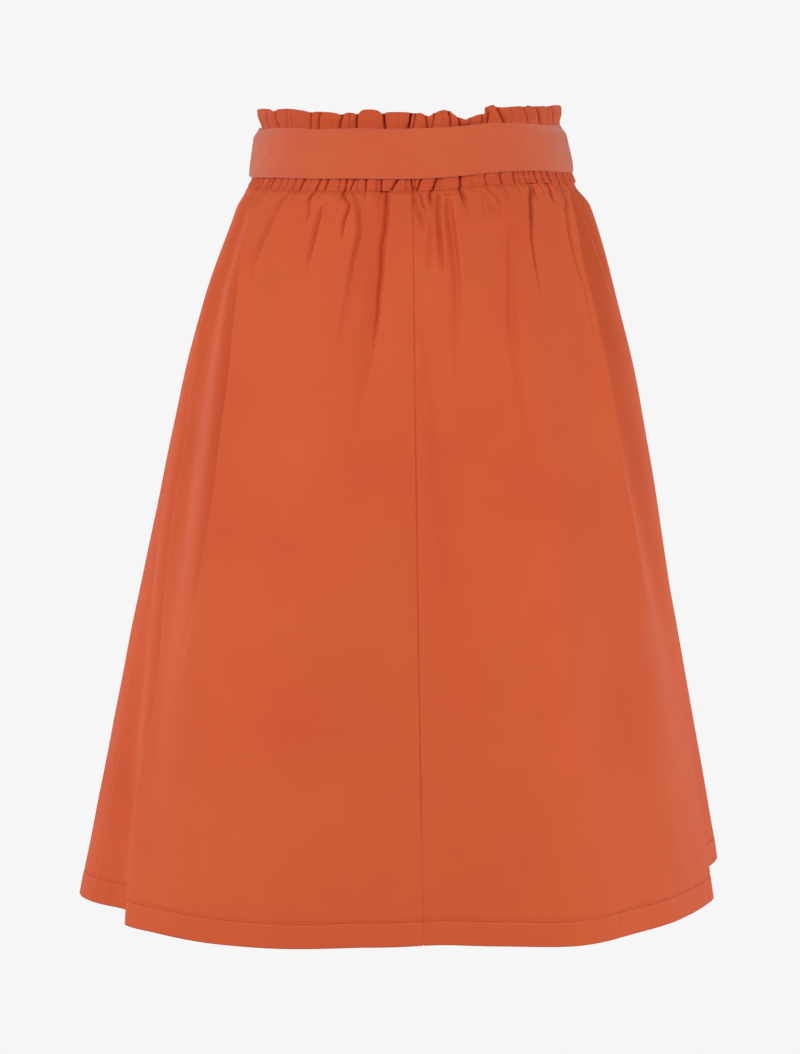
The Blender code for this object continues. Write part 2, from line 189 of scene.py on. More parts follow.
BACK_EDGES = (
    (1, (100, 118, 147, 183, 219, 267, 339, 394, 442, 483, 546, 588),
     (-78.4, -77.6, -74.5, -71.9, -70, -68.6, -65.5, -62.8, -61.7, -62, -60.4, -58.4),
     (0, 0.5, 0.9, 1, 1, 1, 0.8, 0.9, 1, 1, 1, 1), 3.6, 18, 6, 10, 1.2),
    (1, (2, 14, 27, 39, 54, 68, 84, 98, 113, 124, 146, 166),
     (-77.6, -76.9, -77.2, -77, -76, -75.4, -74.3, -73.9, -73.6, -73.3, -73, -73),
     (0.2, 0.8, 1, 1, 1, 1, 0.9, 0.8, 0.6, 0.5, 0.2, 0), 4.4, 7, 10, 8, 0.8),
    (1, (0, 9, 24, 41, 57, 72, 87, 119, 150, 180, 206, 245, 285, 324, 357, 390),
     (-74.6, -70, -65.5, -63.7, -62.3, -60.5, -58.7, -56.6, -55, -54.1, -53.6, -52.9, -52.9, -53.2, -53.9,
      -54.4), (0.5, 0.8, 1, 1, 1, 1, 1, 1, 0.95, 0.9, 0.8, 0.6, 0.36, 0.2, 0.1, 0), 4.2, 12, 13, 9, 0.8),
    (1, (2, 10, 20, 32, 42, 51, 60, 74), (-51.7, -52.7, -53.5, -54.4, -55.3, -55.9, -56.2, -56.4),
     (0.4, 1, 1, 1, 0.9, 0.6, 0.3, 0), 2.4, 9, 6, 6, 0.8),
    (-1, (8, 14, 22, 32, 40), (-60.4, -61.2, -62.2, -63.2, -63.6), (0, 0.8, 1, 0.7, 0), 1, 5, 1.6, 4, 1),
    (1, (0, 5, 10, 18, 23, 30), (-39.9, -41.3, -41.3, -40.9, -41, -41.2), (0.9, 1, 1, 0.7, 0.4, 0),
     1.8, 5, 4.6, 3.2, 0.6),
    (1, (9, 16, 23, 30, 42, 50, 57, 68), (-35.9, -35.8, -35.6, -35.6, -35.9, -36.4, -36.8, -37.3),
     (0, 0.8, 1, 1, 0.9, 0.6, 0.3, 0), 2.8, 5, 5.6, 6, 0.9),
    (1, (0, 2, 6, 8, 12, 16, 21, 27, 34, 42),
     (-29.4, -28.9, -27.4, -25.8, -24.6, -24.8, -25.5, -25.8, -25.8, -26),
     (0.8, 1, 1, 1, 1, 1, 0.9, 0.7, 0.4, 0), 1.6, 4, 6.5, 3.4, 0.6),
    (-1, (2, 12, 24, 34, 41, 50, 62, 74, 84, 100, 130),
     (-25, -22.6, -21, -20.4, -20.8, -21.4, -21.8, -22, -22.4, -23, -24.2),
     (0.5, 0.8, 1, 1, 1, 0.9, 0.85, 0.7, 0.5, 0.35, 0), 5.4, 6, 4.6, 8, 1.6),
    (1, (0, 8, 15, 24, 32, 42, 54, 66, 80, 96, 108, 120, 132, 150, 186),
     (-10.6, -9.7, -9.3, -9.5, -9.6, -10.2, -10.2, -10.2, -10.7, -10.9, -11.5, -12.2, -13.3, -14.3, -16),
     (1, 1, 1, 1, 1, 1, 1, 0.95, 0.9, 0.8, 0.7, 0.6, 0.5, 0.3, 0), 2.8, 8, 9.5, 8.5, 1.4),
    (1, (4, 10, 15, 23, 28, 36), (1.3, 2, 3.2, 4.6, 5.3, 5.8), (0.3, 0.9, 1, 0.9, 0.6, 0),
     1, 4, 4.2, 3.2, 0.7),
    (1, (0, 6, 12, 16, 22), (3.6, 4.7, 5.3, 6.4, 7.2), (0.7, 1, 1, 0.6, 0), 1, 2.6, 4.6, 2.2, 0.5),
    (1, (0, 5, 8, 13), (9.4, 8.5, 8.9, 9.4), (1, 1, 1, 0), 1, 2.5, 5, 2.2, 0.5),
    (1, (20, 28, 39, 51, 59, 64, 72), (8.8, 8.5, 8, 7.6, 7.7, 8.2, 8.6), (0, 0.8, 1, 0.9, 0.7, 0.4, 0),
     1, 6, 4, 4.5, 1),
    (1, (0, 6, 20, 32, 46, 59, 64, 74), (12.2, 12.4, 11.9, 11.8, 11.9, 12.1, 11.9, 11.8),
     (0.5, 0.9, 1, 1, 0.8, 0.5, 0.2, 0), 2.6, 4, 6, 4.6, 0.7),
    (1, (4, 12, 24, 36, 48, 60, 70, 82, 98, 114, 140, 172),
     (17.1, 16.9, 16.7, 17, 17.3, 17.3, 17.3, 16.7, 16.1, 15.5, 15, 14.8),
     (0.4, 0.8, 1, 1, 1, 1, 0.9, 0.8, 0.6, 0.4, 0.2, 0), 2.4, 7, 6.6, 7.5, 1.3),
    (1, (0, 2, 9, 16, 24), (21.7, 22, 22.9, 22.8, 22.8), (1, 1, 1, 0.4, 0), 1.2, 3, 5.4, 2.4, 0.5),
    (1, (6, 12, 20, 27, 36), (29.9, 29.8, 29.5, 30.1, 30.6), (0, 0.7, 0.8, 0.5, 0), 0.8, 4, 2.4, 2.6, 0.8),
    (1, (2, 6, 10, 15, 18, 21, 26, 28, 34), (30.4, 31.1, 31.9, 32.8, 34, 36, 38.4, 39.6, 41.4),
     (0.5, 1, 1, 1, 1, 1, 0.8, 0.6, 0), 1.6, 7, 3.6, 4, 1.1),
    (1, (0, 5, 9, 15, 20), (34.2, 34.7, 35.8, 35.7, 35.6), (0.8, 1, 1, 0.6, 0), 1.2, 3, 3.6, 3.4, 0.8),
    (1, (26, 34, 48, 68, 90, 108, 128, 160, 220), (40.2, 39.4, 37.9, 36.1, 34.6, 33.8, 33.2, 32.8, 32.4),
     (0, 0.8, 1, 1, 1, 1, 0.8, 0.5, 0), 2.4, 16, 6, 11, 1.8),
    (-1, (0, 5, 12, 20, 27, 38, 53, 64, 76, 92), (50.4, 49.5, 47.8, 46.6, 45.6, 44.2, 43.4, 43, 43, 43),
     (0.7, 1, 1, 1, 0.9, 0.5, 0.4, 0.35, 0.2, 0), 1.8, 4, 9.5, 3.4, 0.9),
    (1, (0, 2, 9, 14), (54.6, 53.9, 53, 53), (1, 1, 1, 0), 1.2, 4, 5.4, 2.6, 0.6),
    (1, (0, 2, 12, 17), (61.4, 61, 60, 59.8), (1, 1, 1, 0), 1, 4, 5.5, 2.8, 0.6),
    (-1, (0, 12, 21, 36, 51, 64, 80, 94, 114, 129, 148),
     (64.9, 63.6, 61.2, 59.9, 59.3, 59.3, 59.6, 59.4, 59, 58.7, 58.6),
     (0.5, 1, 1, 0.8, 0.6, 0.5, 0.4, 0.35, 0.3, 0.15, 0), 2.6, 5, 2.6, 4, 0.8),
    (-1, (0, 14, 21, 36, 56, 74, 92, 114, 134, 158, 182, 201, 224, 252, 276, 300, 320, 346),
     (72, 67.2, 65.8, 64.5, 63, 62.1, 61.8, 61.2, 60.9, 60.6, 60.1, 60.3, 59.8, 60.3, 60.8, 61.4, 62, 65.4),
     (0.4, 0.8, 1, 1, 1, 1, 1, 0.95, 0.9, 0.85, 0.8, 0.75, 0.7, 0.6, 0.5, 0.35, 0.2, 0),
     4.6, 10, 13, 20, 0.9),
    (-1, (3, 12, 24, 41, 59, 78, 100), (79.4, 79, 78.8, 78.8, 79, 79.4, 80), (0, 0.8, 1, 1, 0.8, 0.5, 0),
     1.4, 5, 2.2, 4, 1),
    (-1, (380, 460, 540, 588), (81, 79.6, 77.6, 76.4), (0, 0.7, 1, 1), 2.4, 26, 2.4, 12, 1.6),
)

FRONT_EDGES = (
    (-1, (0, 14, 50, 110, 180), (104, 103.6, 102, 101, 100), (0.5, 1, 1, 0.6, 0), 2, 8, 4, 7, 1.1),
    (1, (0, 8, 18, 26), (110, 111, 113, 114), (0.8, 1, 0.6, 0), 1.2, 5, 3, 3, 0.7),
    (1, (2, 20, 60, 120), (118, 118.6, 120, 121), (0.3, 1, 0.9, 0), 2, 8, 3, 6, 1),
    (1, (0, 6, 14, 26), (127, 128, 129, 130), (0.8, 1, 0.7, 0), 1.2, 4, 3, 3, 0.7),
    (-1, (0, 10, 40, 90, 150), (134, 133, 132, 131, 130), (0.8, 1, 1, 0.6, 0), 1.6, 10, 4.8, 7, 1),
    (1, (2, 14, 44, 80), (141, 141.5, 142, 142), (0.4, 1, 0.8, 0), 0.8, 8, 2.4, 5, 1),
    (-1, (0, 5, 12, 22), (147, 148, 149, 149.5), (1, 1, 0.6, 0), 1, 4, 3.2, 3, 0.6),
    (1, (4, 20, 60, 120, 190), (154, 153.4, 153, 152, 151), (0.3, 1, 1, 0.7, 0), 1.4, 12, 3.6, 7, 1.1),
    (-1, (0, 8, 20, 32), (160, 161, 162.5, 164), (0.8, 1, 0.6, 0), 1.2, 5, 2.8, 3.4, 0.8),
    (1, (0, 16, 60, 120, 160), (168, 168, 168.5, 169, 169), (0.7, 1, 1, 0.5, 0), 1.4, 10, 3.8, 6, 1),
    (-1, (0, 6, 14), (174, 174.6, 175), (1, 1, 0), 0.8, 3, 2.6, 2.4, 0.6),
    (-1, (2, 20, 70, 140), (181, 181, 182, 183), (0.4, 1, 1, 0), 1, 12, 2.8, 7, 1.2),
    (1, (0, 8, 20, 50, 100, 170), (187, 188, 189, 190.5, 192, 194), (0.9, 1, 1, 1, 0.7, 0),
     1.6, 12, 5, 7, 1),
    (-1, (0, 8, 22), (196, 196.6, 198), (0.9, 1, 0), 1, 4, 2.6, 3, 0.7),
    (1, (2, 18, 60, 110), (203, 203, 204, 205), (0.4, 1, 0.9, 0), 1, 9, 2.8, 6, 1),
    (-1, (0, 8, 18, 30), (209, 210, 211.5, 213), (0.8, 1, 0.6, 0), 1.2, 5, 3.4, 3.4, 0.7),
    (1, (0, 14, 50, 110, 170), (217, 217.4, 219, 220, 221), (0.6, 1, 1, 0.6, 0), 1.6, 12, 4, 7, 1.1),
    (1, (0, 6, 14), (224, 225, 226), (1, 1, 0), 1, 4, 2.8, 2.6, 0.6),
    (-1, (2, 16, 50, 90), (231, 231.4, 232, 232.6), (0.5, 1, 0.8, 0), 1.2, 8, 3, 5, 0.9),
    (-1, (0, 8, 20, 34), (238, 238.6, 240, 241), (0.8, 1, 0.7, 0), 1.2, 5, 3.2, 3.6, 0.8),
    (-1, (0, 16, 60, 120, 200), (246, 246.4, 248, 249, 251), (0.5, 1, 1, 0.7, 0), 2.4, 14, 4.4, 8, 1.2),
    (1, (0, 8, 18), (254, 254.8, 256), (1, 1, 0), 1, 4, 2.6, 3, 0.7),
    (1, (20, 70, 160, 300, 420), (128, 131, 134, 136, 138), (0, 1, 1, 0.8, 0), 2, 24, 2.2, 10, 1.4),
    (-1, (20, 80, 180, 320, 440), (229, 226, 223, 221, 219), (0, 1, 1, 0.8, 0), 2, 24, 2.4, 10, 1.4),
)


class Crease(NamedTuple):
    """A crease with a rounded middle: its angle and depth (mm, - for a trough) along its length
    below the seam (mm), how far it fades out to the left and to the right, and its rounding (mm)."""

    name: str
    below: tuple
    angle: tuple
    depth: tuple
    left: float
    right: float
    soft: float


BACK_CREASES = (
    Crease("centre hollow", (40, 110, 170, 230, 330, 440), (1.6, 3.4, 5, 7, 10, 14),
           (0, -3, -4.2, -3.4, -1.8, 0), 9, 6, 2),
    Crease("seam pucker", (2, 10, 18, 28), (1.4, 2.6, 3.8, 5), (-0.6, -1.6, -1, 0), 2, 2, 0.8),
    Crease("right lit front", (90, 150, 260, 400, 500, 588), (40, 41, 40, 37, 38, 40),
           (0, 1.6, 2.2, 2.2, 2, 1.6), 16, 26, 5),
    Crease("left soft hollow", (120, 200, 320, 430), (-40, -41, -40, -38), (0, -1.6, -1.8, 0), 22, 16, 5),
    Crease("centre left swell", (60, 140, 260, 380), (-5, -6, -7, -8), (0, 1.4, 1.6, 0), 14, 12, 4),
)


# Where the turned hem puckers across, as angles
HEM_PUCKERS = (-84, -52, -35.9, 15.2, 42.8, 47, 72, 104, 131, 163, 196, 221, 252)


class Gather(NamedTuple):
    """One gather of the elastic casing: its angle, its lean over the casing's height (degrees),
    its depth and half width (mm), and how far it runs on below the seam (mm)."""

    angle: float
    lean: float
    depth: float
    width: float
    run: float


BACK_GATHERS = (
    (-87, 0.6, 1.6, 0.9, 8), (-82.5, -0.5, 1.8, 0.9, 9), (-79.4, 0.3, 1.2, 0.7, 5),
    (-76.4, 0.6, 2.6, 0.8, 10), (-73.4, 1.6, 1.6, 0.8, 6), (-70.7, -0.5, 3, 1.1, 9),
    (-66.1, -0.4, 1.8, 0.8, 6), (-63.8, -1.2, 2.8, 0.9, 9), (-58.9, -0.4, 1.6, 0.7, 5),
    (-55.6, -0.4, 1, 0.8, 4), (-52.2, -0.6, 1.6, 0.7, 5), (-48.7, -1.4, 3, 1.1, 8),
    (-45, -0.4, 0.8, 0.8, 4), (-41.5, -1.5, 3, 0.9, 10), (-37.9, -0.8, 2.8, 0.9, 8),
    (-32.3, 0, 1.4, 0.8, 4), (-29.5, -0.3, 3, 0.8, 9), (-26.6, -1.6, 2.4, 0.8, 9),
    (-24.4, 0.2, 1.2, 0.9, 4), (-20.7, 0.1, 2.6, 0.7, 7), (-15.7, 0, 1.4, 0.7, 4),
    (-13.8, 0.2, 2.6, 0.7, 8), (-7.7, -3.1, 3, 1, 7), (-2.5, 0.3, 1.2, 0.8, 4), (0.2, 1.2, 2.4, 0.7, 6),
    (1.6, 0.2, 1.4, 0.6, 6), (3.5, -2.1, 2.6, 0.8, 8), (10.7, -2, 3.2, 1.2, 8), (13.2, -0.5, 0.9, 0.9, 4),
    (22.1, 0, 3.6, 1.2, 9), (27, 0.4, 0.7, 0.9, 4), (32.8, 0.2, 1.6, 0.7, 6), (39.5, 0.4, 2.4, 0.9, 6),
    (45.4, 0, 2.2, 0.8, 7), (47.4, 0.3, 1.2, 0.7, 4), (50.1, 0.6, 1.8, 0.9, 6), (52.3, 0.4, 1.2, 0.8, 5),
    (55.1, 0.6, 2.8, 0.9, 10), (58.5, 0.8, 1.8, 0.9, 7), (62, 1.2, 3.2, 1.2, 9), (64.8, 0.4, 1, 0.7, 5),
    (67.1, 0.6, 2.8, 1, 9), (69.6, 0.4, 1, 0.7, 5), (71.9, 0.5, 2.6, 0.9, 9), (74.4, 0.4, 1, 0.7, 5),
    (76.9, 0.4, 2.2, 0.8, 7), (80, 0.5, 1.4, 0.9, 7), (83.4, 0.4, 1.6, 0.9, 7), (86.6, 0.5, 1.4, 0.9, 8),
)
# The hidden side has like gathers, turned half round the waist, with other rows' sizes
FRONT_GATHER_SHIFT = 9
FRONT_GATHER_TURN = 180.0


class Pleat(NamedTuple):
    """One pleat of the ruffle: its angle at the sash, its lean up to the top edge (degrees), its
    depth and its half width to each side (mm)."""

    angle: float
    lean: float
    depth: float
    left: float
    right: float


BACK_PLEATS = (
    (-86, 0, 1.6, 1.6, 1.6), (-80, -0.4, 1.4, 1.4, 2), (-73.4, 1.6, 2.4, 1.5, 2), (-65.3, 0.3, 4.2, 1.6, 1),
    (-59.1, 1.5, 1.2, 2, 2), (-56.6, 1.7, 0.9, 1.6, 2), (-47.1, 1.6, 3, 2.8, 0.9),
    (-43.6, 2.1, 3, 1.2, 1.4), (-37.1, 0.3, 0.8, 2.5, 2), (-34, 2.6, 3.8, 1.3, 1), (-29, 0.8, 1.4, 2, 2),
    (-26.2, 1.3, 4.4, 2.2, 1), (-12.6, -0.3, 5.2, 1.4, 0.9), (-5.9, -0.3, 0.9, 2.5, 2.5),
    (-1.7, 1.5, 5.2, 1.2, 1), (0.8, 1.1, 2.4, 1.4, 1.2), (7.7, -1.1, 3.4, 2.6, 2.6),
    (9.8, 0.8, 2, 1.6, 1.2), (14.8, -0.3, 0.8, 1.5, 1.5), (18.9, -1.8, 3.2, 1.4, 2.4),
    (23.5, -1.8, 4.6, 4, 3.6), (27.2, -0.2, 1.4, 1.4, 1.4), (33.1, -0.9, 2.6, 1.4, 1),
    (35.6, -0.7, 3.6, 1.4, 2.4), (43.6, -4.7, 5.2, 1.2, 1), (46.8, -1.4, 1, 1.6, 2),
    (55.1, -3.6, 2.2, 0.8, 3.6), (62.9, -3.8, 4.4, 1.2, 1.1), (68.7, -2.1, 0.9, 1.5, 1.5),
    (74.6, -4.4, 3.6, 1.2, 2), (82, -0.6, 1.2, 1.5, 1.5),
)
FRONT_PLEAT_SHIFT = 11
FRONT_PLEAT_TURN = 179.0


# The ruffle's top edge on the shown side: angle, and height over its mean in millimetres
RUFFLE_EDGE = (
    (-84, 0.2), (-78, 0.7), (-74.6, 0.8), (-68.5, 0), (-66.4, -1.2), (-64.3, 0), (-58.9, 0.7),
    (-55.2, 0.5), (-51.2, -0.3), (-48.8, -0.9), (-46, -2.1), (-42.7, -1.7), (-37.2, -2.1),
    (-34.1, -2.9), (-32.3, -3.9), (-31, -3.3), (-29.1, -2.5), (-26.9, -2.7), (-24.6, -3.5),
    (-23.7, -2.1), (-22.3, -0.5), (-20.1, 0), (-17.3, -0.1), (-15.1, -1.1), (-13.4, -3.1),
    (-11.9, -2.3), (-7.7, -2), (-3.1, -2.1), (-0.3, -2.5), (1.6, -2.9), (3.9, -2.8), (5.8, -3.9),
    (7.6, -5.8), (9, -5), (10.8, -3.3), (13.1, -2), (15.4, -1.8), (17.2, -2.7), (19.1, -5.4),
    (21.4, -8.1), (23.3, -10), (24.7, -10.9), (26, -10.5), (27.8, -9.2), (30.5, -8),
    (33, -7.6), (34.1, -5.8), (34.9, -2.8), (35.8, -1.4), (38, -1.6), (39.9, -3.5),
    (45.1, -3.5), (49.9, -3.3), (52.4, -3.8), (53.9, -2.9), (57.8, -3.6), (59.5, -3.2),
    (63.8, -2.4), (68.9, -2.5), (72.3, -1), (78, -0.7), (84, -1.1), (90, -3.4),
)
# The hidden side's edge: the shown side's turned round, and made shallower
HIDDEN_EDGE_TURN = 176.0
HIDDEN_EDGE_SHARE = 0.8


class Wrinkle(NamedTuple):
    """A soft slanting wrinkle of the sash, between two points of it (degrees, and mm above its
    middle), with its depth and half width (mm)."""

    start: tuple
    end: tuple
    depth: float
    width: float


SASH_WRINKLES = (
    Wrinkle((-80, -12), (-68, 3), 1.4, 5), Wrinkle((-70, -10), (-58, 6), 0.9, 5),
    Wrinkle((-50, 8), (-28, 2), 0.7, 7), Wrinkle((-8, 8), (10, -6), 0.9, 6),
    Wrinkle((10, 0), (22, 6), 0.7, 5), Wrinkle((28, 8), (44, -2), 0.9, 7),
    Wrinkle((52, 2), (68, 10), 1, 6), Wrinkle((70, -8), (86, 4), 1.2, 6),
    Wrinkle((104, -10), (118, 6), 1.2, 5), Wrinkle((130, 8), (148, -4), 0.9, 6),
    Wrinkle((206, -6), (226, 8), 1, 6), Wrinkle((236, 6), (252, -8), 1.2, 5),
)


# ---- curves ----


def smooth_step(x):
    """0 below 0, 1 above 1, and an even rise between."""
    x = np.clip(x, 0.0, 1.0)
    return x * x * (3 - 2 * x)


def blend_through(x, places, values):
    """A smooth curve through values at rising or falling places, level beyond its ends."""
    places = np.asarray(places, float)
    values = np.asarray(values, float)
    x = np.asarray(x, float)
    if places[0] > places[-1]:
        x, places = -x, -places
    last = len(places) - 1
    k = np.arange(last + 1)
    low, high = np.maximum(k - 1, 0), np.minimum(k + 1, last)
    slopes = (values[high] - values[low]) / (places[high] - places[low])
    x = np.clip(x, places[0], places[-1])
    i = np.clip(np.searchsorted(places, x, side="right") - 1, 0, last - 1)
    span = places[i + 1] - places[i]
    t = (x - places[i]) / span
    return (
        values[i] * (1 + 2 * t) * (1 - t) ** 2
        + slopes[i] * span * t * (1 - t) ** 2
        + values[i + 1] * t * t * (3 - 2 * t)
        + slopes[i + 1] * span * t * t * (t - 1)
    )


def angle_between(a, b):
    """The turn from b to a, from -180 to 180 degrees."""
    return (a - b + 180.0) % 360.0 - 180.0


def bump(distance, width):
    """1 at the middle of a fold, fading out over about two widths."""
    return np.exp(-((distance / width) ** 2))


def cusp(distance, left, right, soft):
    """1 at the middle of a crease, fading over one width to each side, its middle rounded."""
    width = np.where(distance < 0, left, right)
    return np.exp(-(np.sqrt(distance**2 + soft**2) - soft) / width)


def narrow_dip(distance, half):
    """1 within a narrow slot, with steep sides."""
    return np.exp(-((distance / half) ** 4))


def wander(angle, height, seed, across, along):
    """A smooth uneven field between about -1 and 1, closed round the waist. It has about as many
    waves round the waist as across, and as many in a metre of height as along."""
    rng = np.random.default_rng(seed)
    turn = np.radians(angle)
    total = 0.0
    for _ in range(7):
        waves = max(1, round(across * rng.uniform(0.6, 1.5)))
        rising = along * rng.uniform(0.5, 1.5) * rng.choice((-1, 1))
        phase = rng.uniform(0, 2 * math.pi)
        total = total + np.sin(waves * turn + 2 * math.pi * rising * height + phase)
    return total / 3.2


# ---- the skirt's form ----


def plain_radius(angle, height):
    """The oval's radius at an angle, without folds."""
    heights = [s.height for s in SECTIONS]
    turn = np.radians(angle)
    across, along = np.sin(turn), np.cos(turn)

    def through(name):
        return blend_through(height, heights, [getattr(s, name) for s in SECTIONS])

    half_width = np.where(across > 0, through("right"), through("left"))
    half_depth = np.where(along > 0, through("back"), through("front"))
    power = through("squareness")
    return (np.abs(across / half_width) ** power + np.abs(along / half_depth) ** power) ** (-1 / power)


def waist_lift(angle):
    """How far the waist stands above its mean height at an angle."""
    turn = np.radians(angle)
    across = np.sin(turn)
    # It rises towards the right, and falls again a little at the very side
    rise = WAIST_RISE_RIGHT * smooth_step(across / 0.85)
    rise = rise * (1 - 0.3 * smooth_step((across - 0.8) / 0.2))
    drop = WAIST_DROP_FRONT * smooth_step(-np.cos(turn))
    return rise - drop


def apart(angle, middle, radius):
    """Millimetres along the cloth from a fold's middle to an angle, at a radius."""
    return np.radians(angle_between(angle, middle)) * radius * 1000


def both_sides(kind, rows, shift, turn):
    """The shown side's rows, and the hidden side's: the same places turned half round, with other
    rows' sizes."""
    shown = [kind(*row) for row in rows]
    sizes = shown[shift:] + shown[:shift]
    hidden = [size._replace(angle=turn - row.angle) for row, size in zip(shown, sizes)]
    return shown + hidden


GATHERS = both_sides(Gather, BACK_GATHERS, FRONT_GATHER_SHIFT, FRONT_GATHER_TURN)
PLEATS = both_sides(Pleat, BACK_PLEATS, FRONT_PLEAT_SHIFT, FRONT_PLEAT_TURN)
EDGES = [Edge(*row) for row in (*BACK_EDGES, *FRONT_EDGES)]


def long_fold_relief(angle, height):
    """The folds that run to the hem."""
    fade = smooth_step((SEAM_HEIGHT - height) / 0.02)
    total = 0.0
    for fold in FOLDS:
        middle = blend_through(height, FOLD_HEIGHTS, fold.angle)
        depth = blend_through(height, FOLD_HEIGHTS, fold.depth)
        width = blend_through(height, FOLD_HEIGHTS, fold.width)
        total = total + depth * bump(angle_between(angle, middle), width)
    return fade * total / 1000


def edge_relief(angle, below, radius):
    """The folds' edges, from the distance below the seam and the plain radius, in metres."""
    mm = below * 1000
    total = 0.0
    for e in EDGES:
        inside = (mm >= e.below[0] - 0.01) & (mm <= e.below[-1])
        middle = blend_through(mm, e.below, e.angle)
        strength = np.maximum(blend_through(mm, e.below, e.strength), 0.0) * inside
        distance = e.side * apart(angle, middle, radius)
        ridge = e.rise * np.exp(-np.maximum(distance, 0) / e.rise_fade)
        valley = -e.sink * np.exp(np.minimum(distance, 0) / e.sink_fade)
        over = 0.5 + 0.5 * np.tanh(distance / e.wall)
        total = total + strength * (ridge * over + valley * (1 - over))
    return total / 1000


def crease_relief(angle, below, radius):
    """The rounded creases, from the distance below the seam and the plain radius, in metres."""
    mm = below * 1000
    total = 0.0
    for c in BACK_CREASES:
        inside = (mm >= c.below[0] - 0.01) & (mm <= c.below[-1])
        middle = blend_through(mm, c.below, c.angle)
        depth = blend_through(mm, c.below, c.depth) * inside
        distance = apart(angle, middle, radius)
        total = total + depth * cusp(distance, c.left, c.right, c.soft)
    return total / 1000


def gather_relief(angle, height, radius):
    """The troughs of the casing's gathers."""
    middle = (SASH_BOTTOM + SEAM_HEIGHT) / 2
    total = 0.0
    for g in GATHERS:
        place_here = g.angle - g.lean * (height - middle) / 0.010
        distance = apart(angle, place_here, radius)
        dip = 0.8 * narrow_dip(distance, g.width) + 0.6 * cusp(distance, 2.4, 2.4, 0.4)
        total = total - g.depth * dip
    return total / 1000


def gather_run(angle, below, radius):
    """How the casing's gathers run on below the seam and spread out."""
    mm = below * 1000
    total = 0.0
    for g in GATHERS:
        place_here = g.angle + g.lean * (0.5 + mm / 20)
        width = g.width * (1.2 + 0.14 * mm)
        distance = apart(angle, place_here, radius)
        total = total - g.depth * np.exp(-mm / g.run) * cusp(distance, width, width, 0.3)
    return total / 1000


def ruffle_relief(angle, height, radius):
    """The ruffle's pleats, deeper towards its top edge, with the cloth swelling between them."""
    share = np.clip((height - SASH_TOP) / (RUFFLE_TOP - SASH_TOP), -0.3, 1.2)
    swell = smooth_step(share * 1.4)
    total = 0.0
    for p in PLEATS:
        place_here = p.angle + p.lean * share
        distance = apart(angle, place_here, radius)
        strength = p.depth * (0.8 + 0.2 * share)
        narrow = 0.5 + 0.2 * p.depth / 2
        soft = cusp(distance, 1.6 * p.left, 1.6 * p.right, 0.4)
        total = total - strength * (0.65 * narrow_dip(distance, narrow) + 0.5 * soft)
        total = total + 0.13 * swell * strength * bump(distance, 7.0)
    return total / 1000


def ruffle_edge(angle):
    """The height of the ruffle's top edge above its mean."""
    angles, rises = zip(*RUFFLE_EDGE)
    turned = angle_between(angle, 0.0)
    shown = blend_through(turned, angles, rises)
    behind = angle_between(HIDDEN_EDGE_TURN - angle, 0.0)
    hidden = HIDDEN_EDGE_SHARE * blend_through(behind, angles, rises)
    share = smooth_step((np.abs(turned) - 82) / 12)
    return (shown * (1 - share) + hidden * share) / 1000


def sash_pinch(angle, height):
    """How far the sash's top corner leans in at the sides, where it turns round the waist."""
    across = np.sin(np.radians(angle))
    side = smooth_step((np.abs(across) - 0.72) / 0.26)
    return SASH_PINCH * side * smooth_step((height - 0.0130) / 0.0075)


def casing_radius(angle, height):
    """The radius of the casing's and the ruffle's outer face."""
    radius = plain_radius(angle, np.maximum(height, SEAM_HEIGHT + 0.0015))
    upward = smooth_step((height - CASING_TOP + 0.006) / 0.006)
    relief = gather_relief(angle, height, radius) * (1 - upward)
    relief = relief + ruffle_relief(angle, height, radius) * upward
    # The ruffle flares out over the sash. At the right it does so lower down, and stands straighter
    upright = smooth_step(2.2 * np.sin(np.radians(angle)) - 1.0)
    above = height - SASH_TOP
    low, high = smooth_step(above / 0.010), smooth_step((above - 0.008) / 0.010)
    flare = RUFFLE_FLARE * low + upright * (RIGHT_FLARE - 0.0004 * low - 0.0012 * high)
    pinch = sash_pinch(angle, height) * (1 - (0.5 - 0.5 * upright) * smooth_step(above / 0.012))
    # Fine rows of stitching hold the elastic
    rows = 0.0
    for offset in STITCHED_ROWS:
        rows = rows - STITCHED_ROW_DEPTH * bump((height - SEAM_HEIGHT - offset) * 1000, 0.4)
    return radius + relief + flare - pinch + rows


def waistband_points(angle, height):
    """Points of the casing and its ruffle."""
    share = np.clip((height - CASING_TOP) / (RUFFLE_TOP - CASING_TOP), 0, 1.2)
    lift = waist_lift(angle) + share * ruffle_edge(angle)
    return place(casing_radius(angle, height), angle, height + lift)


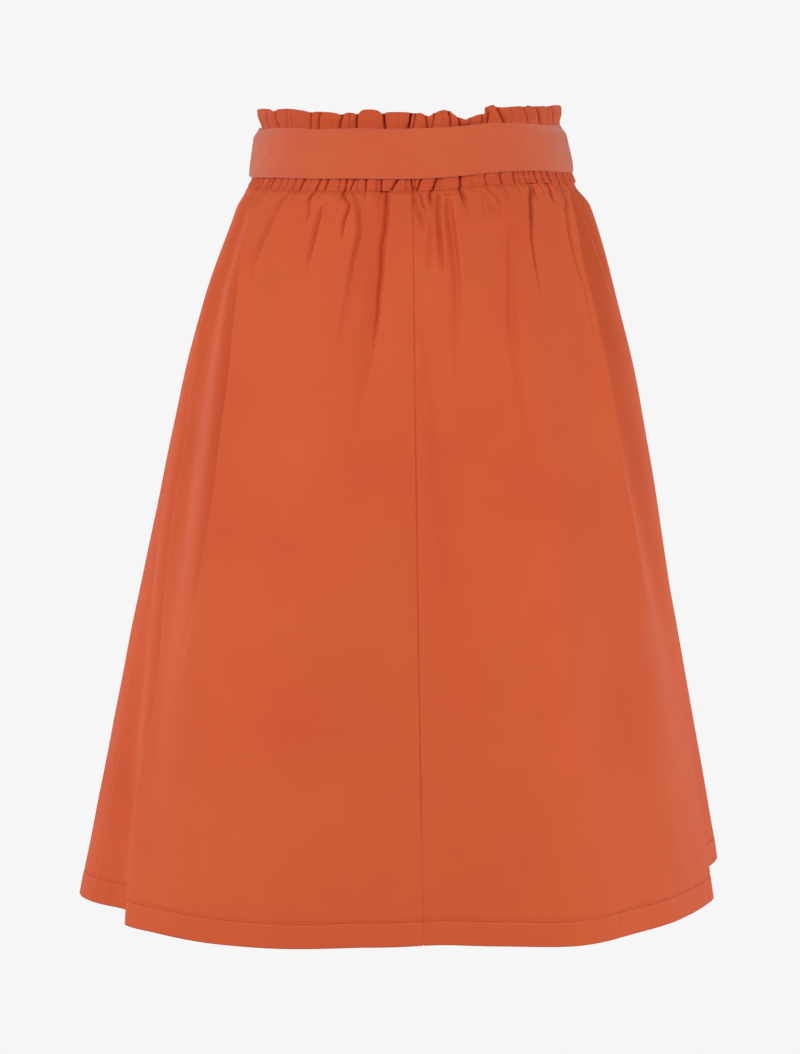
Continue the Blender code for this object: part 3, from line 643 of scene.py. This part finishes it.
def sash_points(angle, height):
    """Points of the sash's outer face. Its last stretch lies over its first at the front."""
    middle = (SASH_TOP + SASH_BOTTOM) / 2
    half = (SASH_TOP - SASH_BOTTOM) / 2
    swell = SASH_SWELL * (1 - np.abs((height - middle) / half) ** 3)
    over = smooth_step((angle - SASH_LAP[0] + 2) / SASH_LAP_RAMP + 1)
    radius = plain_radius(angle, height) + SASH_OFFSET + swell + over * SASH_LAP_LIFT
    radius = radius - sash_pinch(angle, height)
    degree = math.radians(SASH_MEAN_RADIUS) * 1000
    x = angle * degree
    y = (height - middle) * 1000
    relief = 0.0
    for w in SASH_WRINKLES:
        from_x, from_y = x - w.start[0] * degree, y - w.start[1]
        run_x, run_y = (w.end[0] - w.start[0]) * degree, w.end[1] - w.start[1]
        length = math.hypot(run_x, run_y)
        along = (from_x * run_x + from_y * run_y) / length**2
        across = (from_x * run_y - from_y * run_x) / length
        fade = smooth_step(along / 0.3 + 0.3) * smooth_step((1 - along) / 0.3 + 0.3)
        relief = relief - w.depth * fade * cusp(across, w.width, w.width * 0.4, 0.8)
    relief = relief + 0.22 * wander(angle, height, 21, 7, 12.0) * (1 - np.abs(y / (half * 1000)) ** 4)
    wave = 0.0004 * wander(angle, 0.0, 23, 9, 0.0)
    share = (height - SASH_BOTTOM) / (SASH_TOP - SASH_BOTTOM)
    # It narrows a little towards the right side
    narrow = 0.0019 * smooth_step((np.sin(np.radians(angle)) - 0.35) / 0.5)
    level = height + waist_lift(angle) + wave * (0.4 + 0.6 * share) - narrow * share
    return place(radius + relief / 1000, angle, level)


def seam_angle(ends, height):
    """A vertical seam's angle at a height."""
    fall = np.clip((SEAM_HEIGHT - height) / (SEAM_HEIGHT - HEM_HEIGHT), 0, 1)
    return ends[0] + (ends[1] - ends[0]) * fall


def panel_radius(angle, height):
    """The radius of a panel's outer face, with all its folds. Above the seam it lies in the casing."""
    below = np.maximum(SEAM_HEIGHT - height, 0.0)
    plain = plain_radius(angle, np.minimum(height, SEAM_HEIGHT))
    radius = plain + long_fold_relief(angle, height)
    # The gathered cloth puffs out right under the seam
    facing = 1 - 1.2 * smooth_step((np.abs(np.sin(np.radians(angle))) - 0.84) / 0.13)
    radius = radius + PUFF * facing * (1 - np.exp(-below / PUFF_START)) * np.exp(-below / PUFF_END)
    radius = radius - SEAM_NIP * np.exp(-below / 0.0010)
    radius = radius - 0.0012 * (1 - facing) * smooth_step(below / 0.03)
    radius = radius + edge_relief(angle, below, plain) + crease_relief(angle, below, plain)
    radius = radius + RUN_STRENGTH * gather_run(angle, below, plain)
    # Slight unevenness of hanging cloth
    calm = smooth_step(below / 0.03)
    radius = radius + 0.0005 * calm * wander(angle, height, 3, 9, 3.0)
    radius = radius + 0.00018 * calm * wander(angle, height, 4, 30, 9.0)
    # The seams between panels lie in fine grooves, with a slight pucker beside them
    for number, (ends, groove) in enumerate(SEAM_GROOVES):
        distance = apart(angle, seam_angle(ends, height), plain)
        radius = radius - groove * cusp(distance, 0.4, 0.4, 0.1)
        radius = radius + 0.00030 * bump(distance - 3.0, 3.0)
        pucker = np.sin(2 * math.pi * height / 0.017 + 5 * number) + np.sin(2 * math.pi * height / 0.029)
        radius = radius + 0.00008 * pucker * bump(distance, 7.0)
    # The hem's stitching draws the cloth in a little, and the turned hem puckers here and there
    above = (height - HEM_HEIGHT) * 1000
    radius = radius - HEM_GROOVE * bump(above - HEM_DEPTH * 1000, 0.9)
    radius = radius + 0.00030 * wander(angle, above / 1000, 8, 95, 6.0) * bump(above - 12.0, 11.0)
    for mark in HEM_PUCKERS:
        distance = apart(angle, mark, plain)
        radius = radius - HEM_PUCKER * cusp(distance, 1.2, 2.2, 0.4) * bump(above - 7.0, 7.0)
    inner = casing_radius(angle, height) - CASING_WALL - 0.0004
    tucked_in = smooth_step((height - SEAM_HEIGHT) / 0.0012)
    return radius * (1 - tucked_in) + inner * tucked_in


def panel_points(angle, height):
    """Points of a panel. The waist's tilt fades out towards the level hem."""
    share = (height - HEM_HEIGHT) / (SEAM_HEIGHT - HEM_HEIGHT)
    return place(panel_radius(angle, height), angle, height + share * waist_lift(angle))


def place(radius, angle, height):
    """Points at a radius from the waist's axis."""
    turn = np.radians(angle)
    parts = np.broadcast_arrays(radius * np.sin(turn), -radius * np.cos(turn), height)
    return np.stack(parts, axis=-1)


# ---- meshes ----


def steps(start, end, step):
    """Values from start up to end, without it, about a step apart."""
    count = max(1, round(abs(end - start) / step))
    return [start + (end - start) * i / count for i in range(count)]


def row_places(*stretches):
    """The places of rows over stretches, each with its start, end and step, and the last end."""
    return [*(row for stretch in stretches for row in steps(*stretch)), stretches[-1][1]]


def unit(vectors):
    """The vectors at length 1."""
    return vectors / np.maximum(np.linalg.norm(vectors, axis=-1, keepdims=True), 1e-12)


def make_piece(name, points, uvs, faces, material):
    """An object from points, their UVs in metres and its faces, smooth shaded."""
    mesh = bpy.data.meshes.new(name)
    mesh.from_pydata(points.tolist(), [], faces)
    layer = mesh.uv_layers.new(name="cloth")
    corner = np.empty(len(mesh.loops), dtype=np.int32)
    mesh.loops.foreach_get("vertex_index", corner)
    layer.data.foreach_set("uv", uvs[corner].astype(np.float32).ravel())
    mesh.materials.append(material)
    mesh.shade_smooth()
    mesh.set_sharp_from_angle(angle=math.radians(62))
    mesh.update()
    piece = bpy.data.objects.new(name, mesh)
    bpy.context.scene.collection.objects.link(piece)
    return piece


def cloth_wall(name, angle, height, points_at, thickness, inner_rows, material):
    """A wall of cloth, closed all round. Its outer face lies at the given angles and heights,
    lowest row first; its inner face has only the given rows, and both edges are rolled over."""
    outer = points_at(angle, height)
    rows, columns = outer.shape[:2]
    thickness = np.broadcast_to(np.asarray(thickness, float), (rows,))
    up = unit(np.gradient(outer, axis=0))
    normals = unit(np.cross(np.gradient(outer, axis=1), np.gradient(outer, axis=0)))

    def roll(row, turns, direction):
        reach = thickness[row] / 2
        centre = outer[row] - normals[row] * reach
        outward, onward = normals[row] * reach, direction * up[row] * reach
        return [centre + outward * math.cos(turn) + onward * math.sin(turn) for turn in turns]

    quarter = math.pi / 4
    inner = [outer[row] - normals[row] * thickness[row] for row in reversed(inner_rows)]
    grid = np.stack([
        *inner,
        *roll(0, (3 * quarter, 2 * quarter, quarter), -1),
        *outer,
        *roll(rows - 1, (quarter, 2 * quarter, 3 * quarter), 1),
    ])
    total = len(grid)
    index = np.arange(total * columns).reshape(total, columns)
    index = np.vstack([index, index[:1]])
    quads = np.stack([index[:-1, :-1], index[:-1, 1:], index[1:, 1:], index[1:, :-1]], axis=-1)
    faces = quads.reshape(-1, 4).tolist()
    # Close the two ends, between the inner face's rows and the outer's
    first_outer = len(inner) + 3
    for column, flip in ((0, False), (columns - 1, True)):
        side = index[:, column]
        strips = [[side[k] for k in range(len(inner) - 1, first_outer + 1)]]
        inner_side = {row: side[len(inner) - 1 - i] for i, row in enumerate(inner_rows)}
        for low, high in zip(inner_rows, inner_rows[1:]):
            strip = [side[first_outer + row] for row in range(low, high + 1)]
            strips.append([inner_side[low], *strip, inner_side[high]])
        top = first_outer + rows - 1
        strips.append([side[k] for k in range(top, top + 4)] + [side[0]])
        for strip in strips:
            strip = [int(v) for v in strip]
            faces.append(strip if flip else strip[::-1])
    u = np.broadcast_to(np.radians(angle) * UV_RADIUS, (rows, columns))
    u_rows = np.stack([*(u[row] for row in reversed(inner_rows)), *u[[0] * 3], *u, *u[[-1] * 3]])
    rise = np.linalg.norm(np.diff(grid, axis=0), axis=-1).mean(axis=1)
    v_rows = np.concatenate([[0.0], np.cumsum(rise)])[:, None] * np.ones(columns)
    uvs = np.stack([u_rows, v_rows], axis=-1).reshape(-1, 2)
    return make_piece(name, grid.reshape(-1, 3), uvs, faces, material)


def panel(name, left_seam, right_seam, columns, material):
    """A skirt panel between two seams, its hem turned up inside, its rows closest at both ends."""
    falls = [-0.0030, -0.0018, -0.0010, *row_places(
        (-0.0004, 0.012, 0.00062), (0.012, 0.045, 0.0015), (0.045, 0.120, 0.003),
        (0.120, 0.560, 0.0068), (0.560, SEAM_HEIGHT - HEM_HEIGHT, 0.0011),
    )]
    heights = SEAM_HEIGHT - np.array(falls[::-1])
    # Closer columns beside each seam, as shares of the panel's turn
    beside = np.array([0.0006, 0.0012, 0.0019, 0.0030, 0.0042]) * 90 / abs(right_seam[0] - left_seam[0])
    share = np.sort(np.concatenate([np.linspace(0, 1, columns), beside, 1 - beside]))[None, :]
    level = heights[:, None]
    # Neighbouring panels stop a hair apart
    edge = np.degrees(0.00001 / 0.15)
    left = seam_angle(left_seam, level) + edge
    right = seam_angle(right_seam, level) - edge
    turned_up = heights < HEM_HEIGHT + HEM_DEPTH
    thickness = np.where(turned_up, TURNED_HEM, CLOTH)
    fold = int(turned_up.sum())
    inner_rows = sorted({*range(0, len(heights), 4), fold - 1, fold, len(heights) - 1})
    angles = left + (right - left) * share
    return cloth_wall(name, angles, level, panel_points, thickness, inner_rows, material)


def waistband(name, left, right, columns, material):
    """Half of the elastic casing with its ruffle."""
    behind_sash = (SASH_BOTTOM + 0.002, 0.014)
    heights = np.array(row_places(
        (SEAM_HEIGHT + 0.0001, behind_sash[0], 0.0006), (*behind_sash, 0.0035),
        (behind_sash[1], RUFFLE_TOP, 0.0007),
    ))
    share = smooth_step((heights - CASING_TOP) / 0.003)
    thickness = CASING_WALL + (RUFFLE_WALL - CASING_WALL) * share
    angles = np.linspace(left + 0.01, right - 0.01, columns)[None, :]
    inner_rows = sorted({*range(0, len(heights), 3), len(heights) - 2, len(heights) - 1})
    return cloth_wall(name, angles, heights[:, None], waistband_points, thickness, inner_rows, material)


def sash(name, columns, material):
    """The sash: one turned strip round the casing, its ends overlapping at the front."""
    middle = (SASH_BOTTOM + 0.005, 0.0135)
    heights = np.array(row_places(
        (SASH_BOTTOM, middle[0], 0.001), (*middle, 0.0024), (middle[1], SASH_TOP, 0.0007),
    ))
    angles = np.linspace(SASH_LAP[0] - 360.0, SASH_LAP[1], columns)[None, :]
    edge = np.minimum(heights - SASH_BOTTOM, SASH_TOP - heights)
    thickness = SASH_WALL * (0.85 + 0.15 * smooth_step(edge / 0.004))
    inner_rows = sorted({*range(0, len(heights), 4), len(heights) - 1})
    return cloth_wall(name, angles, heights[:, None], sash_points, thickness, inner_rows, material)


def stitch_row(name, height, points_at, pitch, length, width, material):
    """A row of stitches round a level line of a piece, each a short rounded thread of five rings."""
    sides, rings = 6, 5

    def level_points(angle, lift=0.0):
        return points_at(angle, np.full_like(angle, height) + lift)

    fine = np.linspace(-180.0, 180.0, 4001)
    run = np.linalg.norm(np.diff(level_points(fine), axis=0), axis=1)
    run = np.concatenate([[0.0], np.cumsum(run)])
    count = int(run[-1] / pitch)
    starts = (np.arange(count) + 0.5) * run[-1] / count
    starts = starts + np.random.default_rng(5).normal(0, 0.00008, count)
    along = np.array([-0.5, -0.3, 0.0, 0.3, 0.5]) * length
    at = np.interp((starts[:, None] + along).ravel(), run, fine).reshape(count, -1)
    middle = level_points(at)
    tangent = unit(level_points(at + 0.05) - middle)
    normal = unit(np.cross(tangent, level_points(at, 0.0001) - middle))
    across = np.cross(normal, tangent)
    lift = width * np.array([-0.35, 0.22, 0.34, 0.22, -0.35])
    reach = width / 2 * np.array([0.6, 1.0, 1.0, 1.0, 0.6])
    middle = middle + normal * lift[None, :, None]
    turns = np.arange(sides) * 2 * math.pi / sides
    outward = normal[:, :, None, :] * np.cos(turns)[:, None]
    outward = outward + across[:, :, None, :] * np.sin(turns)[:, None]
    points = middle[:, :, None, :] + outward * reach[None, :, None, None]
    faces = []
    for base in range(0, count * rings * sides, rings * sides):
        for ring in range(rings - 1):
            for s in range(sides):
                a, b = base + ring * sides + s, base + ring * sides + (s + 1) % sides
                faces.append([a, a + sides, b + sides, b])
        faces.append([base + s for s in range(sides)])
        faces.append([base + (rings - 1) * sides + s for s in reversed(range(sides))])
    u = np.tile(turns * width, count * rings)
    v = np.repeat(np.arange(count * rings) * 0.001, sides)
    return make_piece(name, points.reshape(-1, 3), np.stack([u, v], axis=-1), faces, material)


# ---- materials ----


def node(tree, kind, **values):
    """A shader node with some of its settings and inputs."""
    made = tree.nodes.new(kind)
    for key, value in values.items():
        if hasattr(made, key):
            setattr(made, key, value)
        else:
            made.inputs[key.replace("_", " ")].default_value = value
    return made


def maths(tree, operation, *values):
    """The result of a maths node, from sockets and numbers."""
    made = node(tree, "ShaderNodeMath", operation=operation)
    for socket, value in zip(made.inputs, values):
        if isinstance(value, float):
            socket.default_value = value
        else:
            tree.links.new(value, socket)
    return made.outputs[0]


def slub(tree, uv, scale):
    """Noise that is drawn out along the threads of one direction."""
    mapping = node(tree, "ShaderNodeMapping", Scale=scale)
    tree.links.new(uv, mapping.inputs["Vector"])
    noise = node(tree, "ShaderNodeTexNoise", Scale=1.0, Detail=2.0, Roughness=0.6)
    tree.links.new(mapping.outputs["Vector"], noise.inputs["Vector"])
    return noise.outputs["Fac"]


def threads(tree, uv, direction):
    """Threads side by side, about 0.4 mm apart."""
    wave = node(tree, "ShaderNodeTexWave", bands_direction=direction, Scale=130.0)
    tree.links.new(uv, wave.inputs["Vector"])
    return wave.outputs["Fac"]


def new_material(name, **settings):
    """A material, its tree and its shader, with some of the shader's inputs set."""
    material = bpy.data.materials.new(name)
    material.use_nodes = True
    shader = material.node_tree.nodes["Principled BSDF"]
    for key, value in settings.items():
        shader.inputs[key.replace("_", " ")].default_value = value
    return material, material.node_tree, shader


def cotton(name, deep, light, roughness, sheen):
    """Dyed cotton: a fine plain weave with slubs, uneven dye and a soft fuzz."""
    material, tree, shader = new_material(
        name, Metallic=0.0, Specular_IOR_Level=0.28, Sheen_Weight=sheen, Sheen_Roughness=0.5,
        Sheen_Tint=(1.0, 0.82, 0.75, 1),
    )
    link = tree.links.new
    uv = node(tree, "ShaderNodeUVMap", uv_map="cloth").outputs["UV"]
    coords = node(tree, "ShaderNodeTexCoord")

    # Uneven dye, from broad clouds to threads that took a little more or less of it
    cloud_noise = node(tree, "ShaderNodeTexNoise", Scale=9.0, Detail=3.0, Roughness=0.55)
    link(coords.outputs["Object"], cloud_noise.inputs["Vector"])
    clouds = cloud_noise.outputs["Fac"]
    slubs = maths(tree, "ADD", slub(tree, uv, (22.0, 1500.0, 1.0)), slub(tree, uv, (1500.0, 18.0, 1.0)))
    dye = maths(tree, "MULTIPLY_ADD", clouds, 0.9, maths(tree, "MULTIPLY", slubs, 0.22))
    ramp = node(tree, "ShaderNodeValToRGB")
    ramp.color_ramp.elements[0].position = 0.38
    ramp.color_ramp.elements[0].color = (*deep, 1)
    ramp.color_ramp.elements[1].position = 0.95
    ramp.color_ramp.elements[1].color = (*light, 1)
    link(dye, ramp.inputs["Fac"])
    link(ramp.outputs["Color"], shader.inputs["Base Color"])

    # The weave of warp and weft
    weave = maths(tree, "ADD", threads(tree, uv, "X"), threads(tree, uv, "Y"))
    bumps = node(tree, "ShaderNodeBump", Strength=0.2, Distance=0.00015)
    link(maths(tree, "MULTIPLY_ADD", weave, 0.35, slubs), bumps.inputs["Height"])
    link(bumps.outputs["Normal"], shader.inputs["Normal"])

    wear = node(tree, "ShaderNodeMapRange", To_Min=roughness - 0.04, To_Max=roughness + 0.04)
    link(clouds, wear.inputs["Value"])
    link(wear.outputs["Result"], shader.inputs["Roughness"])
    return material


def thread_material(name, colour):
    """Sewing thread: twisted strands with a slight gloss."""
    material, tree, shader = new_material(name, Roughness=0.6, Specular_IOR_Level=0.35)
    uv = node(tree, "ShaderNodeUVMap", uv_map="cloth")
    twist_map = node(tree, "ShaderNodeMapping")
    twist_map.inputs["Rotation"].default_value = (0, 0, 0.7)
    tree.links.new(uv.outputs["UV"], twist_map.inputs["Vector"])
    twist = node(tree, "ShaderNodeTexWave", wave_type="BANDS", Scale=700.0)
    tree.links.new(twist_map.outputs["Vector"], twist.inputs["Vector"])
    ramp = node(tree, "ShaderNodeValToRGB")
    ramp.color_ramp.elements[0].color = (*[c * 0.85 for c in colour], 1)
    ramp.color_ramp.elements[1].color = (*colour, 1)
    tree.links.new(twist.outputs["Fac"], ramp.inputs["Fac"])
    tree.links.new(ramp.outputs["Color"], shader.inputs["Base Color"])
    return material


def backdrop_material():
    """A plain studio backdrop, evenly bright."""
    return new_material(
        "backdrop", Base_Color=(0.0, 0.0, 0.0, 1), Roughness=1.0, Specular_IOR_Level=0.0,
        Emission_Color=(1.0, 1.0, 1.0, 1), Emission_Strength=BACKDROP_LIGHT,
    )[0]


# ---- studio ----


def studio():
    """A pale floor that turns up into a wall all round, soft lights and the camera."""
    flat, curve, around = 3.2, 1.6, 64
    profile = [(0.0, FLOOR), (flat, FLOOR)]
    for k in range(1, 13):
        turn = math.pi / 2 * k / 12
        profile.append((flat + curve * math.sin(turn), FLOOR + curve * (1 - math.cos(turn))))
    profile += [(4.8, 3.2), (3.6, 4.4), (0.0, 4.8)]
    points = []
    for radius, height in profile:
        for k in range(around):
            turn = 2 * math.pi * k / around
            points.append((radius * math.cos(turn), radius * math.sin(turn), height))
    faces = []
    for row in range(len(profile) - 1):
        for k in range(around):
            a, b = row * around + k, row * around + (k + 1) % around
            faces.append([a, b, b + around, a + around])
    points = np.array(points)
    backdrop = make_piece("backdrop", points, points[:, :2], faces, backdrop_material())
    backdrop.visible_diffuse = False
    backdrop.visible_glossy = False
    backdrop.visible_shadow = False

    world = bpy.data.worlds.new("studio")
    world.use_nodes = True
    background = world.node_tree.nodes["Background"]
    background.inputs["Color"].default_value = (1, 0.985, 0.97, 1)
    background.inputs["Strength"].default_value = FILL_LIGHT
    bpy.context.scene.world = world

    for name, where, size, power, aim in STUDIO_LIGHTS:
        lamp = bpy.data.lights.new(name, "AREA")
        lamp.shape = "RECTANGLE"
        lamp.size, lamp.size_y = size
        lamp.energy = power
        holder = bpy.data.objects.new(name, lamp)
        holder.location = where
        holder.visible_camera = False
        holder.rotation_euler = (Vector(aim) - Vector(where)).to_track_quat("-Z", "Y").to_euler()
        bpy.context.scene.collection.objects.link(holder)

    camera = bpy.data.cameras.new("camera")
    camera.sensor_fit = "VERTICAL"
    camera.sensor_height = 36.0
    camera.lens = FOCAL_PIXELS / PHOTO_HEIGHT * camera.sensor_height
    viewer = bpy.data.objects.new("camera", camera)
    viewer.location = CAMERA_PLACE
    viewer.rotation_euler = (math.radians(90 - CAMERA_DOWN), 0.0, 0.0)
    bpy.context.scene.collection.objects.link(viewer)
    bpy.context.scene.camera = viewer
    bpy.context.scene.view_settings.view_transform = "Standard"


# ---- the dressed skirt ----

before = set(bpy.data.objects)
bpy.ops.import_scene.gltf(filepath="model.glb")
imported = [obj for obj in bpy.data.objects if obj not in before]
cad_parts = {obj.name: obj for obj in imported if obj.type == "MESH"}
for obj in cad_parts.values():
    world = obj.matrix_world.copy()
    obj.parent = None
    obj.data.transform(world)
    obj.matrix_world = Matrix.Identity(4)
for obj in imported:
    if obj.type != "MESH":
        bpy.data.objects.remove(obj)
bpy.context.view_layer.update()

cloth = cotton("skirt_cotton", DEEP_DYE, LIGHT_DYE, 0.80, 0.08)
# Painted shade: the gathered casing and ruffle use a darker copy of the skirt's cotton
gathered = cotton("gathered_cotton_painted_shade", GATHERED_DYE_AND_SHADE_DEEP, GATHERED_DYE_AND_SHADE_LIGHT, 0.80, 0.08)
sash_cloth = cotton("sash_cotton_cloth", SASH_DEEP_DYE, SASH_LIGHT_DYE, 0.78, 0.60)
thread = thread_material("sewing_thread", THREAD_DYE)
hem_thread = thread_material("hem_thread", HEM_THREAD_DYE)

turned_left = tuple(angle + 360.0 for angle in LEFT_SEAM)
dressed = (
    (panel("back_left_cloth", LEFT_SEAM, CENTRE_SEAM, 430, cloth), "back_left", "cotton"),
    (panel("back_right_cloth", CENTRE_SEAM, RIGHT_SEAM, 430, cloth), "back_right", "cotton"),
    (panel("front_cloth", RIGHT_SEAM, turned_left, 430, cloth), "front", "cotton"),
    (waistband("waistband_back_cloth", -90.0, 90.0, 1000, gathered), "waistband_back", "cotton"),
    (waistband("waistband_front_cloth", 90.0, 270.0, 800, gathered), "waistband_front", "cotton"),
    (sash("sash_cloth", 420, sash_cloth), "sash", "sash_cotton"),
)
for piece, solid, slot in dressed:
    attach(piece, "root")
    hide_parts(solid)

# The hem's stitches lie on the lower side of its groove, the others in the casing's two rows
hem_line = HEM_HEIGHT + HEM_DEPTH - 0.0006
low_row, high_row = (SEAM_HEIGHT + offset for offset in STITCHED_ROWS)
seams = (
    stitch_row("hem_stitches", hem_line, panel_points, 0.0036, 0.0031, 0.00050, hem_thread),
    stitch_row("casing_stitches", low_row, waistband_points, 0.0031, 0.0023, 0.00040, thread),
    stitch_row("elastic_stitches", high_row, waistband_points, 0.0034, 0.0026, 0.00034, thread),
)
for row in seams:
    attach(row, "root")

studio()
